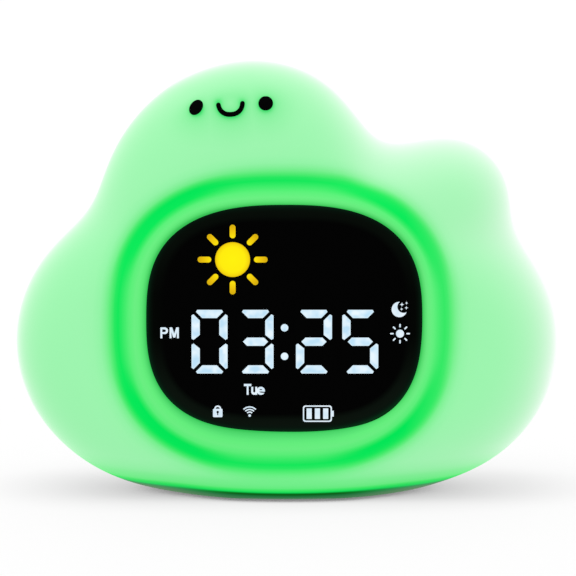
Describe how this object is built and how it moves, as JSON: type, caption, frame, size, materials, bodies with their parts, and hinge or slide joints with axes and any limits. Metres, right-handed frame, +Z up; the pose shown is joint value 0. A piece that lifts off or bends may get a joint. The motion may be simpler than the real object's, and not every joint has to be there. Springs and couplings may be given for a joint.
{
  "type": "kids alarm clock with night light",
  "caption": "Cloud-shaped kids alarm clock: hollow glowing green silicone cover over a core with a black digital display, rear buttons and a charging socket.",
  "frame": {"origin": "centre of the footprint, on the surface the clock stands on", "axes": "+X to the right seen from the front, along the width; +Y to the rear; +Z up; the display faces -Y"},
  "size_m": [0.1508, 0.07, 0.12],
  "materials": {
    "glow_silicone": "soft satin",
    "black_ink": "matte",
    "black_lens": "gloss",
    "segment_light": "gloss",
    "segment_dark": "gloss",
    "sun_light": "gloss",
    "icon_light": "gloss",
    "white_plastic": "matte",
    "ivory_plastic": "matte",
    "grey_plastic": "matte",
    "button_white": "satin",
    "button_green": "satin",
    "green_board": "satin",
    "chip_black": "matte",
    "tin_can": "satin",
    "zinc_steel": "satin",
    "silver_foil": "satin",
    "ribbon_film": "satin",
    "lamp_lens": "gloss",
    "speaker_black": "matte",
    "grey_foam": "matte",
    "red_lead": "satin",
    "black_lead": "satin",
    "orange_lead": "satin",
    "white_lead": "satin",
    "green_rubber": "matte"
  },
  "bodies": {
    "clock_body": {"silicone_cover": "glow_silicone", "left_eye": "black_ink", "right_eye": "black_ink", "smile": "black_ink", "display_lens": "black_lens", "lit_segments": "segment_light", "unlit_segments": "segment_dark", "colon_dots": "segment_light", "sun_icon": "sun_light", "status_icons": "icon_light", "day_legends": "icon_light", "front_frame": "white_plastic", "light_wells": "white_plastic", "display_board": "green_board", "display_leds": "lamp_lens", "core_housing": "white_plastic", "battery_cell": "silver_foil", "battery_strap": "white_plastic", "main_board": "green_board", "controller_chip": "chip_black", "radio_module": "tin_can", "board_parts": "chip_black", "lead_sockets": "ivory_plastic", "display_ribbon": "ribbon_film", "ribbon_sockets": "ivory_plastic", "battery_lead_red": "red_lead", "battery_lead_black": "black_lead", "speaker_leads": "orange_lead", "lamp_leads": "white_lead", "lamp_band": "ribbon_film", "lamps": "lamp_lens", "usb_socket": "tin_can", "usb_tongue": "chip_black", "speaker": "speaker_black", "speaker_gasket": "grey_foam", "rear_cover": "white_plastic", "tact_switches": "tin_can", "power_switch": "tin_can", "core_stand": "white_plastic", "base_pad": "green_rubber", "display_screws": "zinc_steel", "board_screws": "zinc_steel", "strap_screws": "zinc_steel", "rear_screws": "zinc_steel", "stand_screws": "zinc_steel"},
    "key_alarm": {"button_alarm": "button_white", "plunger_alarm": "chip_black"},
    "key_clock": {"button_clock": "button_white", "plunger_clock": "chip_black"},
    "key_down": {"button_down": "button_white", "plunger_down": "chip_black"},
    "key_up": {"button_up": "button_white", "plunger_up": "chip_black"},
    "key_light": {"button_light": "button_green", "plunger_light": "chip_black"},
    "power_slider": {"power_knob": "grey_plastic"}
  },
  "joints": [
    {"name": "press_alarm", "type": "slide", "parent": "clock_body", "child": "key_alarm", "axis": [0, -1, 0], "range_m": [0, 0.0006], "stiffness_N_per_m": 1500},
    {"name": "press_clock", "type": "slide", "parent": "clock_body", "child": "key_clock", "axis": [0, -1, 0], "range_m": [0, 0.0006], "stiffness_N_per_m": 1500},
    {"name": "press_down", "type": "slide", "parent": "clock_body", "child": "key_down", "axis": [0, -1, 0], "range_m": [0, 0.0006], "stiffness_N_per_m": 1500},
    {"name": "press_up", "type": "slide", "parent": "clock_body", "child": "key_up", "axis": [0, -1, 0], "range_m": [0, 0.0006], "stiffness_N_per_m": 1500},
    {"name": "press_light", "type": "slide", "parent": "clock_body", "child": "key_light", "axis": [0, -1, 0], "range_m": [0, 0.0006], "stiffness_N_per_m": 1500},
    {"name": "power_slide", "type": "slide", "parent": "clock_body", "child": "power_slider", "axis": [1, 0, 0], "range_m": [0, 0.003]}
  ]
}
